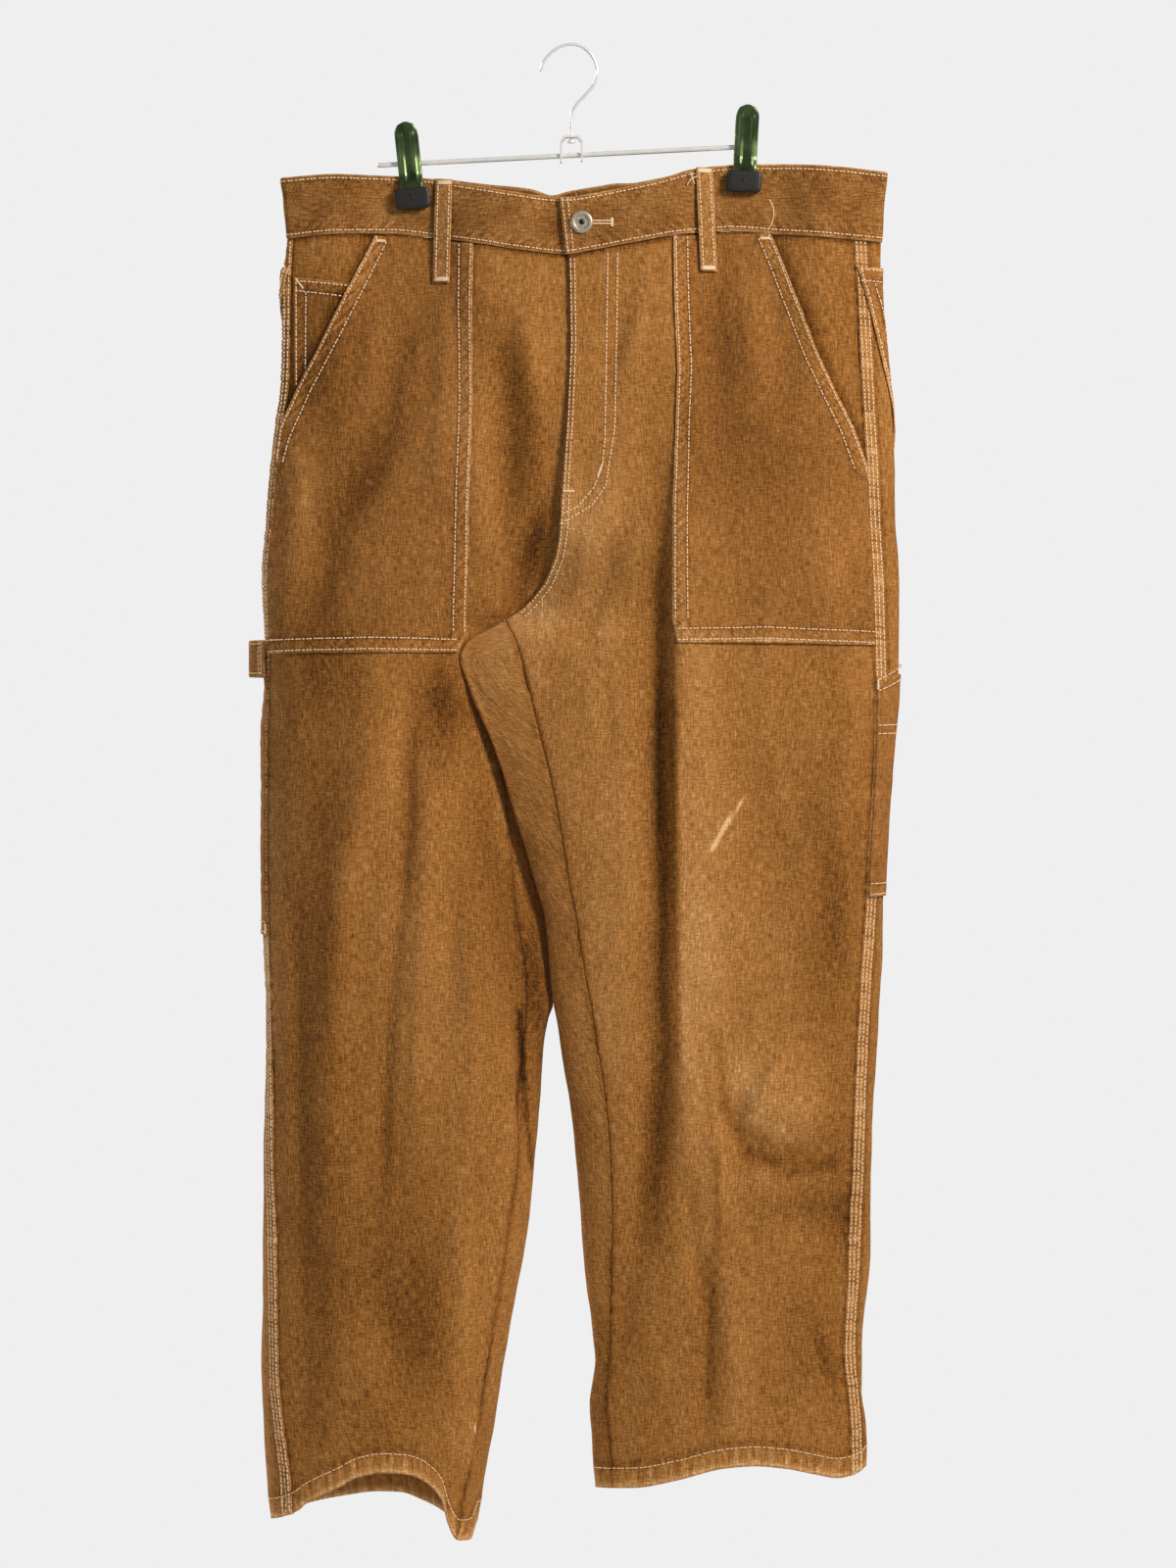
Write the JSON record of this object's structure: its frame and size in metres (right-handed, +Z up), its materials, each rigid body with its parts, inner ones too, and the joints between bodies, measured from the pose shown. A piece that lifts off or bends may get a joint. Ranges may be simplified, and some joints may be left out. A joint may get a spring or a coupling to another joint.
{
  "type": "work trousers on a clip hanger",
  "caption": "Long work trousers with slanted patch pockets, tool pocket and hammer loop, hung by the waistband from a wire clip hanger.",
  "frame": {"origin": "inside top of the hanger's hook, where it rests on a rail", "axes": "+Z up, the front of the trousers faces -Y, the wearer's left at +X"},
  "size_m": [0.4987, 0.0984, 1.1428],
  "materials": {
    "cotton_duck": "faded matt twill",
    "cotton_duck_waist": "faded matt twill",
    "cotton_duck_pocket": "faded matt twill",
    "nickel_steel": "bright plated",
    "button_metal": "dull plated",
    "black_rubber": "matt"
  },
  "bodies": {
    "root": {"back_panel_l": "cotton_duck", "back_panel_r": "cotton_duck", "back_pocket_l": "cotton_duck_pocket", "back_pocket_r": "cotton_duck_pocket", "belt_loop_centre": "cotton_duck_waist", "belt_loop_front_l": "cotton_duck_waist", "belt_loop_front_r": "cotton_duck_waist", "belt_loop_side_l": "cotton_duck_waist", "belt_loop_side_r": "cotton_duck_waist", "button": "button_metal", "clip_l_jaw_back": "nickel_steel", "clip_l_jaw_front": "nickel_steel", "clip_l_pad_back": "black_rubber", "clip_l_pad_front": "black_rubber", "clip_l_spring": "nickel_steel", "clip_r_jaw_back": "nickel_steel", "clip_r_jaw_front": "nickel_steel", "clip_r_pad_back": "black_rubber", "clip_r_pad_front": "black_rubber", "clip_r_spring": "nickel_steel", "coin_pocket": "cotton_duck_pocket", "front_panel_l": "cotton_duck", "front_panel_r": "cotton_duck", "hammer_loop_r": "cotton_duck", "hanger_bar": "nickel_steel", "hanger_bracket": "nickel_steel", "hanger_hook": "nickel_steel", "patch_pocket_l": "cotton_duck_pocket", "patch_pocket_r": "cotton_duck_pocket", "ruler_pocket_l": "cotton_duck_pocket", "tool_pocket_r": "cotton_duck_pocket", "waistband_l": "cotton_duck_waist", "waistband_r": "cotton_duck_waist"}
  },
  "joints": []
}
